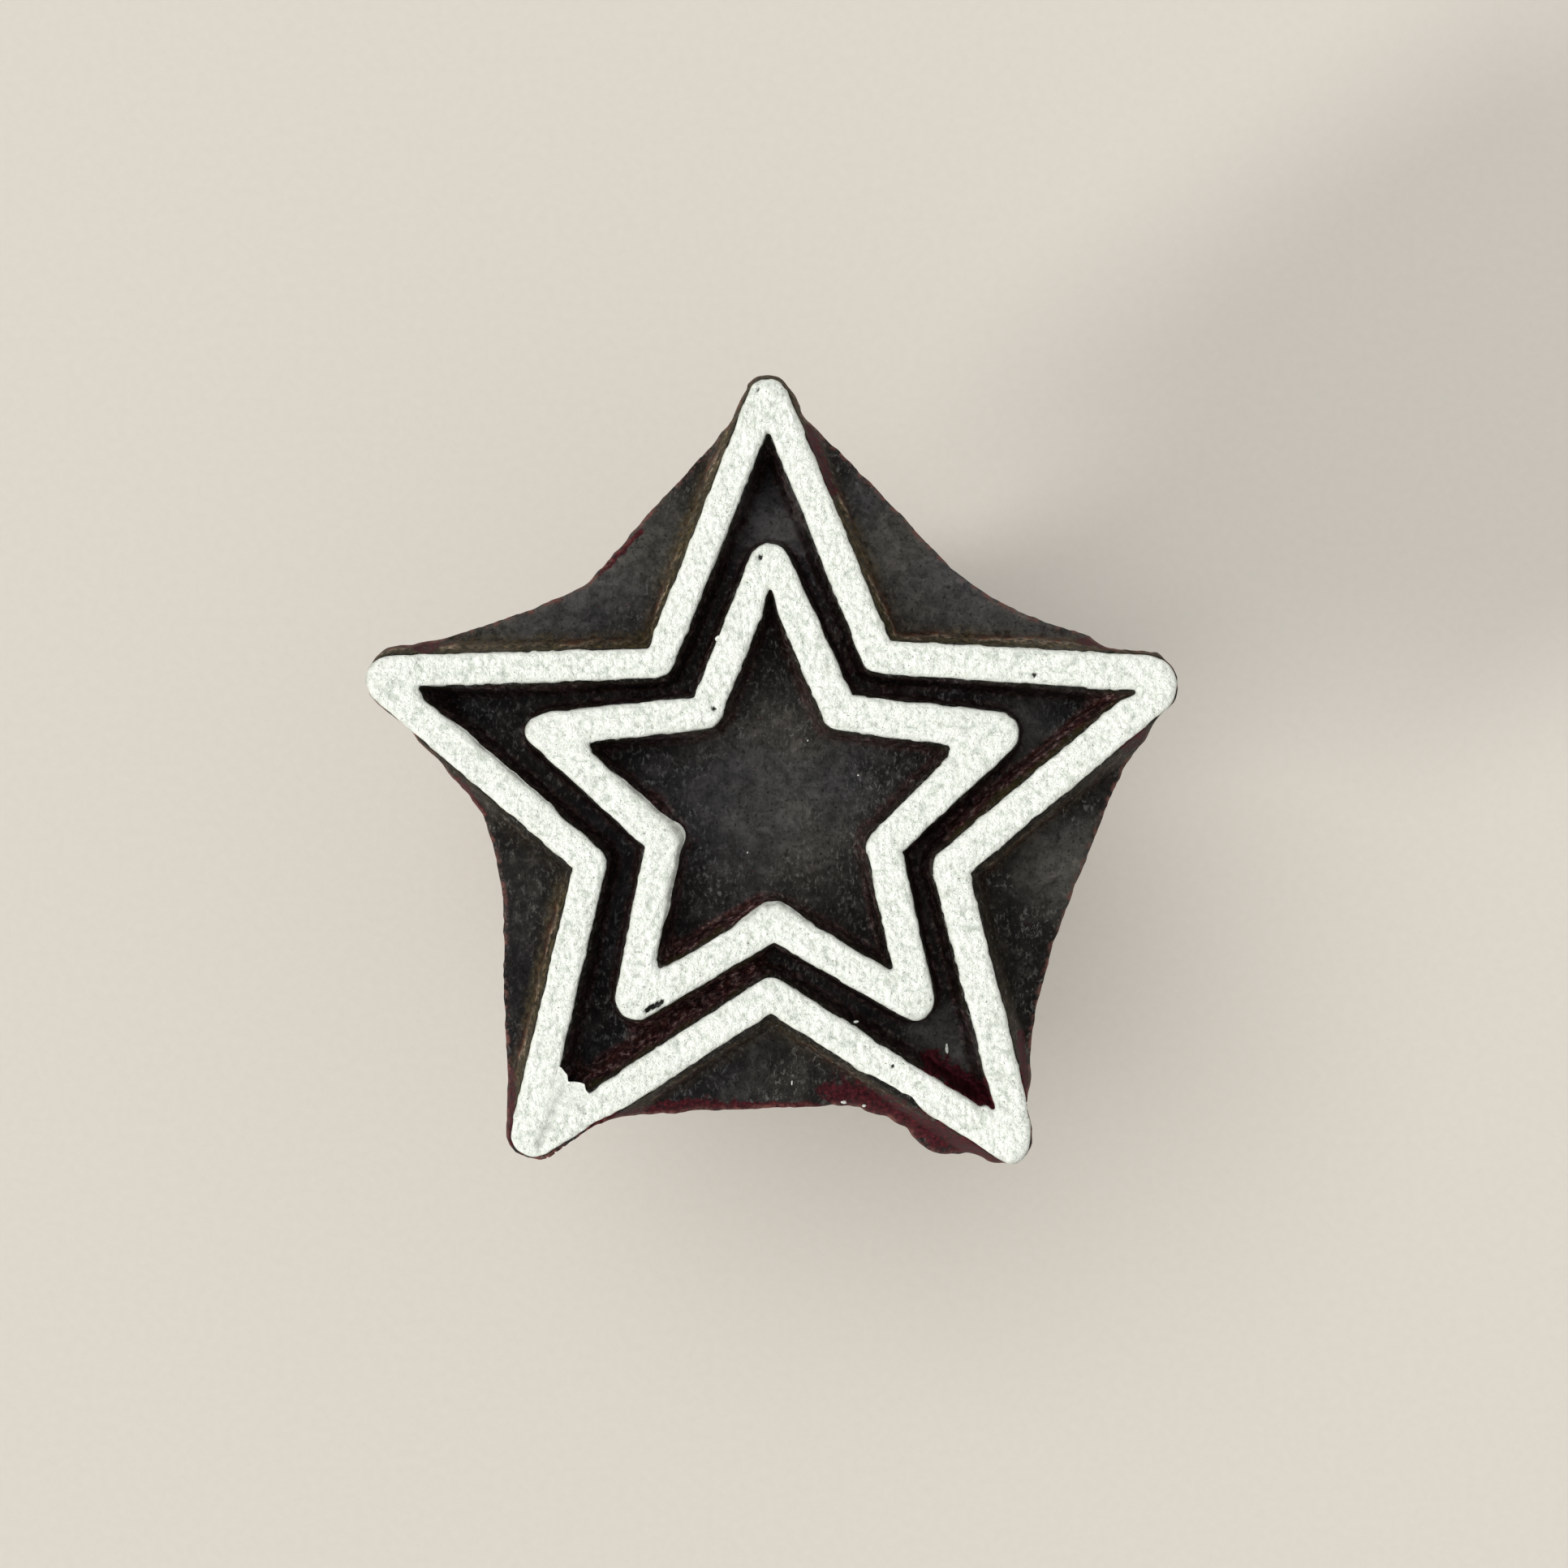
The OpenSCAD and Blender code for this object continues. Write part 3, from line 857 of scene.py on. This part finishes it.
class Nodes:
    """Short names for building a node tree."""

    def __init__(self, name):
        self.material = bpy.data.materials.new(name)
        self.material.use_nodes = True
        self.tree = self.material.node_tree
        self.shader = self.tree.nodes["Principled BSDF"]
        self.place = self.add("ShaderNodeTexCoord").outputs["Object"]

    def add(self, kind, **inputs):
        node = self.tree.nodes.new(kind)
        for key, value in inputs.items():
            socket = node.inputs[key.replace("_", " ")]
            self.put(value, socket)
        return node

    def put(self, value, socket):
        if isinstance(value, bpy.types.NodeSocket):
            self.tree.links.new(value, socket)
        else:
            socket.default_value = value

    def stretched(self, x, y, z):
        """The place in mm, with each axis scaled, so that features are 1/scale mm long."""
        node = self.add("ShaderNodeMapping", Vector=self.place)
        node.inputs["Scale"].default_value = (x / MM, y / MM, z / MM)
        return node.outputs[0]

    def noise(self, vector, scale=1.0, detail=3.0, rough=0.5, distortion=0.0):
        node = self.add("ShaderNodeTexNoise", Vector=vector, Scale=scale, Detail=detail)
        node.inputs["Roughness"].default_value = rough
        node.inputs["Distortion"].default_value = distortion
        return node.outputs["Fac"]

    def cells(self, vector, scale=1.0):
        node = self.add("ShaderNodeTexVoronoi", Vector=vector, Scale=scale)
        return node.outputs["Distance"]

    def ramp(self, value, *stops):
        """Colour by value. Each stop is (position, colour), a colour being 3 numbers or one grey."""
        node = self.add("ShaderNodeValToRGB", Fac=value)
        band = node.color_ramp
        while len(band.elements) < len(stops):
            band.elements.new(0.5)
        for element, (position, colour) in zip(band.elements, stops):
            element.position = position
            if isinstance(colour, (int, float)):
                colour = (colour, colour, colour)
            element.color = (*colour, 1)
        return node.outputs["Color"]

    def mix(self, share, a, b, how="MIX"):
        node = self.tree.nodes.new("ShaderNodeMix")
        node.data_type = "RGBA"
        node.blend_type = how
        self.put(share, node.inputs["Factor"])
        for socket, colour in ((node.inputs[6], a), (node.inputs[7], b)):
            if isinstance(colour, (tuple, list)):
                colour = (*colour, 1)
            self.put(colour, socket)
        return node.outputs[2]

    def math(self, how, a, b=0.0):
        node = self.tree.nodes.new("ShaderNodeMath")
        node.operation = how
        self.put(a, node.inputs[0])
        self.put(b, node.inputs[1])
        return node.outputs[0]

    def attribute(self, name):
        node = self.tree.nodes.new("ShaderNodeAttribute")
        node.attribute_name = name
        return node.outputs["Fac"]

    def bump(self, height, depth_mm, after=None):
        node = self.add("ShaderNodeBump", Height=height, Strength=1.0, Distance=depth_mm * MM)
        if after is not None:
            self.put(after, node.inputs["Normal"])
        return node.outputs[0]

    def finish(self, **sockets):
        for key, value in sockets.items():
            if isinstance(value, tuple) and len(value) == 3:
                value = (*value, 1)
            self.put(value, self.shader.inputs[key.replace("_", " ")])
        return self.material


def ground_colour(n, fine, fleck, grain):
    """The stained ground: black to grey where it has faded, with pale flecks and black pits."""
    broad = n.noise(grain, 0.8, 5.0, 0.65, 1.0)
    crowd = n.noise(grain, 0.35, 2.0, 0.5)
    black = n.ramp(broad, (0.3, (0.003, 0.003, 0.003)), (0.5, (0.010, 0.009, 0.009)),
                   (0.72, (0.036, 0.033, 0.031)))
    grey = n.ramp(broad, (0.3, (0.050, 0.050, 0.048)), (0.52, (0.105, 0.102, 0.097)),
                  (0.74, (0.165, 0.152, 0.145)))
    faded = n.attribute("faded")
    stain = n.mix(faded, black, grey)
    flecks = n.ramp(fleck, (0.53, 0.0), (0.65, 1.0))
    flecks = n.math("MULTIPLY", flecks, n.ramp(crowd, (0.38, 0.15), (0.6, 0.85)))
    flecks = n.math("MULTIPLY", flecks, n.ramp(faded, (0.1, 1.0), (0.45, 0.35)))
    stain = n.mix(flecks, stain, (0.14, 0.14, 0.137))
    beside = n.ramp(n.attribute("foot"), (0.45, 0.9), (0.98, 0.3))
    pits = n.ramp(n.noise(n.stretched(1.0, 1.0, 0.3), 1.7, 3.0, 0.6), (0.40, 1.0), (0.47, 0.0))
    stain = n.mix(n.math("MULTIPLY", beside, pits), stain, (0.006, 0.006, 0.004))
    stain = n.mix(n.ramp(fine, (0.3, 0.8), (0.45, 0.0)), stain, (0.004, 0.0035, 0.0035))
    hue = n.ramp(n.noise(grain, 0.14, 1.0), (0.4, (0.96, 0.97, 1.0)), (0.6, (1.0, 0.99, 0.90)))
    return n.mix(1.0, stain, hue, "MULTIPLY")


def wall_colour(n):
    """Outer walls are olive at the top, beige half way down and brown at the foot. Inner ones are maroon
    with pale grains, olive at the top and reddish at the foot."""
    upright = n.stretched(1, 1, 0.35)
    tooled = n.noise(n.stretched(1, 1, 0.5), 2.6, 5.0, 0.68)
    grains = n.noise(n.stretched(1, 1, 0.7), 2.3, 4.0, 0.7)
    wander = n.noise(upright, 0.55, 2.0, 0.5)
    level = n.math("ADD", n.attribute("foot"), n.math("MULTIPLY", n.math("SUBTRACT", tooled, 0.5), 0.45))
    level = n.math("ADD", level, n.math("MULTIPLY", n.math("SUBTRACT", wander, 0.5), 0.5))

    pale = n.ramp(n.noise(upright, 0.22, 2.0, 0.6), (0.44, 0.25), (0.56, 1.0))
    bands = n.ramp(level, (0.10, (0.20, 0.175, 0.07)), (0.22, (0.36, 0.29, 0.18)),
                   (0.31, (1.0, 0.80, 0.62)), (0.40, (0.30, 0.10, 0.045)), (0.56, (0.20, 0.15, 0.11)))
    rough_cut = n.ramp(tooled, (0.36, (0.060, 0.055, 0.050)), (0.5, (0.20, 0.19, 0.175)),
                       (0.66, (0.50, 0.47, 0.43)))
    outside = n.mix(1.0, rough_cut, n.mix(pale, (0.26, 0.21, 0.10), bands), "MULTIPLY")

    inside = n.ramp(grains, (0.38, (0.006, 0.002, 0.0025)), (0.48, (0.044, 0.010, 0.012)),
                    (0.56, (0.105, 0.050, 0.046)), (0.66, (0.32, 0.225, 0.205)))
    inside = n.mix(n.ramp(level, (0.36, 0.0), (0.46, 0.6), (0.58, 0.0)), inside, (0.050, 0.014, 0.006))
    inside = n.mix(n.ramp(level, (0.04, 0.85), (0.2, 0.0)), inside, (0.034, 0.032, 0.008))
    return n.mix(n.attribute("inside"), outside, inside)


def sawn_colour(n):
    """The block's sides, across the growth rings."""
    growth = n.noise(n.stretched(0.30, 0.42, 0.015), 1.0, 3.0, 0.55, 0.6)
    streak = n.noise(n.stretched(1.6, 1.6, 0.03), 1.0, 5.0, 0.6)
    smudge = n.noise(n.stretched(0.9, 0.9, 0.25), 1.0, 4.0, 0.7)
    side = n.ramp(growth, (0.3, (0.036, 0.010, 0.012)), (0.5, (0.064, 0.016, 0.018)),
                  (0.7, (0.098, 0.030, 0.027)))
    side = n.mix(n.ramp(streak, (0.32, 0.75), (0.52, 0.0)), side, (0.020, 0.006, 0.007))
    side = n.mix(n.ramp(streak, (0.58, 0.0), (0.75, 0.5)), side, (0.17, 0.062, 0.048))
    return n.mix(n.ramp(smudge, (0.55, 0.0), (0.72, 0.6)), side, (0.016, 0.010, 0.011))


def carved_wood_material():
    n = Nodes("stained_hardwood")
    grain = n.stretched(1, 1, 0.07)
    fine = n.noise(grain, 4.0, 4.0, 0.6)
    fleck = n.noise(n.stretched(4.2, 2.4, 1.0), 1.0, 4.0, 0.65, 0.6)
    patch = n.noise(n.stretched(1, 1, 0.35), 1.5, 5.0, 0.7)
    pores = n.ramp(n.cells(grain, 2.6), (0.0, 0.0), (0.13, 1.0))
    maroon = n.ramp(fine, (0.32, (0.010, 0.002, 0.003)), (0.5, (0.040, 0.005, 0.008)),
                    (0.7, (0.092, 0.014, 0.019)))

    wall = n.math("MULTIPLY", n.attribute("wall"), n.ramp(patch, (0.35, 0.35), (0.6, 1.0)))
    colour = n.mix(wall, ground_colour(n, fine, fleck, grain), wall_colour(n))
    worn = n.math("ADD", n.attribute("bare"), n.math("MULTIPLY", n.math("SUBTRACT", patch, 0.5), 2.6))
    worn = n.ramp(worn, (0.40, 0.0), (0.72, 1.0))
    colour = n.mix(worn, colour, maroon)
    # Painted highlight, partly real rubbing: a lighter orange-brown along the rounded rim, where light
    # catches it
    rubbed_and_highlit = n.math("MULTIPLY", n.attribute("rubbed_and_highlit"), n.ramp(patch, (0.47, 0.0), (0.60, 0.75)))
    colour = n.mix(rubbed_and_highlit, colour, (0.20, 0.09, 0.073))
    colour = n.mix(n.math("MULTIPLY", n.attribute("sawn"), worn), colour, sawn_colour(n))
    colour = n.mix(pores, (0.004, 0.0035, 0.0035), colour)
    rough = n.ramp(fine, (0.3, 0.55), (0.7, 0.75))
    bump = n.bump(pores, 0.06, n.bump(fleck, 0.07, n.bump(fine, 0.08)))
    return n.finish(Base_Color=colour, Roughness=rough, Normal=bump, Specular_IOR_Level=0.08)


def paint_material():
    n = Nodes("dried_white_paint")
    flat = n.stretched(1, 1, 1)
    lumps = n.noise(flat, 3.6, 3.0, 0.6)
    speck = n.noise(flat, 5.5, 3.0, 0.6)
    cloud = n.noise(flat, 0.45, 3.0, 0.6)
    patch = n.noise(flat, 1.9, 3.0, 0.6)
    wrinkle = n.math("ABSOLUTE", n.math("SUBTRACT", n.noise(flat, 4.6, 2.0, 0.55), 0.5))
    edge = n.attribute("edge")

    colour = n.ramp(cloud, (0.35, (0.955, 0.99, 0.925)), (0.65, (0.90, 0.935, 0.86)))
    # Painted shade: grey-green in the hollows between the film's lumps
    hollow_shade = n.math("MULTIPLY", n.attribute("hollow_shade"), n.ramp(patch, (0.4, 0.8), (0.58, 0.1)))
    colour = n.mix(hollow_shade, colour, (0.46, 0.51, 0.44))
    # Painted shade: grey in the creases of the wrinkles, where the bump also sinks
    colour = n.mix(n.ramp(wrinkle, (0.0, 0.4), (0.02, 0.0)), colour, (0.40, 0.44, 0.38))
    # Painted shade: grey in the low places between the lumps of the bump
    colour = n.mix(n.ramp(lumps, (0.34, 0.55), (0.44, 0.0)), colour, (0.55, 0.60, 0.52))
    colour = n.mix(n.ramp(speck, (0.29, 0.9), (0.35, 0.0)), colour, (0.13, 0.13, 0.115))
    # Painted shade: grey on the film's rounded edges, where paint runs down a wall, in the crease, and on
    # the corner's skin and crumbs
    edge_shade = n.math("MULTIPLY", edge, n.ramp(n.noise(flat, 1.6, 3.0), (0.38, 0.4), (0.62, 0.95)))
    colour = n.mix(edge_shade, colour, (0.40, 0.415, 0.37))
    colour = n.mix(n.attribute("thin"), colour, (0.12, 0.13, 0.115))
    rough = n.ramp(lumps, (0.35, 0.7), (0.6, 0.5))
    lumpy = n.bump(n.mix(edge, lumps, (0.5, 0.5, 0.5)), 0.16)
    bump = n.bump(wrinkle, 0.12, n.bump(speck, 0.05, lumpy))
    return n.finish(Base_Color=colour, Roughness=rough, Normal=bump, Specular_IOR_Level=0.4)


def handle_material():
    n = Nodes("turned_hardwood")
    fine = n.noise(n.stretched(1, 1, 0.05), 1.8, 5.0, 0.6)
    bands = n.noise(n.stretched(0.34, 0.22, 0.012), 1.0, 3.0, 0.55, 1.0)
    brown = n.ramp(bands, (0.32, (0.050, 0.016, 0.010)), (0.46, (0.125, 0.043, 0.023)),
                   (0.56, (0.19, 0.072, 0.036)), (0.68, (0.10, 0.034, 0.019)))
    colour = n.mix(n.ramp(fine, (0.36, 0.6), (0.54, 0.0)), brown, (0.040, 0.013, 0.009))
    pores = n.ramp(n.cells(n.stretched(1, 1, 0.10), 1.5), (0.0, 0.2), (0.09, 1.0))
    colour = n.mix(pores, (0.018, 0.007, 0.005), colour)
    rough = n.ramp(fine, (0.3, 0.46), (0.7, 0.34))
    bump = n.bump(pores, 0.03, n.bump(fine, 0.02))
    return n.finish(Base_Color=colour, Roughness=rough, Normal=bump, Coat_Weight=0.2, Coat_Roughness=0.35)


def dowel_material():
    n = Nodes("beech")
    fine = n.noise(n.stretched(1, 1, 0.05), 1.8, 4.0, 0.6)
    colour = n.ramp(fine, (0.3, (0.42, 0.26, 0.13)), (0.7, (0.62, 0.42, 0.24)))
    return n.finish(Base_Color=colour, Roughness=0.6, Normal=n.bump(fine, 0.04))


def floor_material():
    n = Nodes("paper")
    tooth = n.noise(n.stretched(1, 1, 1), 1.4, 4.0, 0.6)
    colour = n.ramp(tooth, (0.3, (0.615, 0.58, 0.52)), (0.7, (0.635, 0.60, 0.54)))
    return n.finish(Base_Color=colour, Roughness=0.9, Normal=n.bump(tooth, 0.02), Specular_IOR_Level=0.1)


# ---------------------------------------------------------------- build


def dress(obj, material, slot, *nodes):
    """Gives a piece its material, puts it under the root body and hides the CAD nodes that it stands for.
    The slot argument is not used.
    """
    obj.data.materials.clear()
    obj.data.materials.append(material)
    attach(obj, "root")
    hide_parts(*nodes)


wood = carved_wood_material()
white = paint_material()

dress(build_block(), wood, "block_wood", "carved_block")
for star, bits in (("outer", [web(), *crumbs()]), ("inner", [])):
    film = paint_film(f"{star}_line_paint", f"{star}_star_paint", CHIPS[star], bits)
    dress(film, white, "face_paint", f"{star}_star_paint")
dress(build_handle(), handle_material(), "handle_wood", "handle")

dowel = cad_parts["handle_dowel"]
dowel.data.materials.clear()
dowel.data.materials.append(dowel_material())


# ---------------------------------------------------------------- floor, light and camera

FLOOR_R = 15000.0  # so large that its rim lies on the horizon
HORIZON = (0.753, 0.708, 0.631)  # the lit floor's colour
SKY = (0.52, 0.52, 0.515)
VIEW_CENTRE = (0.7, 1.35)
VIEW_DISTANCE = 145.0  # from the camera down to the printing face


def studio_floor():
    turn = np.linspace(0, 2 * math.pi, 64, endpoint=False)
    rim = FLOOR_R * np.column_stack([np.cos(turn), np.sin(turn), 0 * turn])
    floor = mesh_object("floor", rim, [list(range(len(rim)))], smooth=False)
    floor.data.materials.append(floor_material())


def soft_light(name, azimuth, height, spread, power, colour):
    """A light far away that looks spread degrees wide, at an azimuth in plan and a height in degrees."""
    data = bpy.data.lights.new(name, "SUN")
    data.angle = math.radians(spread)
    data.energy = power
    data.color = colour
    lamp = bpy.data.objects.new(name, data)
    a, e = math.radians(azimuth), math.radians(height)
    away = Vector((math.cos(a) * math.cos(e), math.sin(a) * math.cos(e), math.sin(e)))
    lamp.location = 3 * away
    lamp.rotation_euler = away.to_track_quat("Z", "Y").to_euler()
    bpy.context.scene.collection.objects.link(lamp)


def studio_sky():
    """Soft light from all round, which takes the floor's colour towards the horizon."""
    world = bpy.data.worlds.new("studio")
    world.use_nodes = True
    tree = world.node_tree
    place = tree.nodes.new("ShaderNodeTexCoord")
    split = tree.nodes.new("ShaderNodeSeparateXYZ")
    fade = tree.nodes.new("ShaderNodeValToRGB")
    low, high = fade.color_ramp.elements
    low.color = (*HORIZON, 1)
    high.color = (*SKY, 1)
    high.position = 0.3
    tree.links.new(place.outputs["Generated"], split.inputs[0])
    tree.links.new(split.outputs["Z"], fade.inputs[0])
    tree.links.new(fade.outputs[0], tree.nodes["Background"].inputs["Color"])
    bpy.context.scene.world = world


def camera_above():
    """The camera of the photograph, straight above the face."""
    lens = bpy.data.cameras.new("camera")
    lens.sensor_width = 36
    lens.lens = 54
    lens.clip_start = 0.005
    camera = bpy.data.objects.new("camera", lens)
    camera.location = Vector((*VIEW_CENTRE, PRINT_Z + VIEW_DISTANCE)) * MM
    bpy.context.scene.collection.objects.link(camera)
    bpy.context.scene.camera = camera


studio_floor()
soft_light("key", 212, 28, 13, 1.6, (1.0, 0.975, 0.94))
soft_light("overhead", 140, 68, 46, 1.42, (0.99, 0.98, 0.985))
studio_sky()
camera_above()
bpy.context.scene.view_settings.view_transform = "Standard"

bpy.context.view_layer.update()
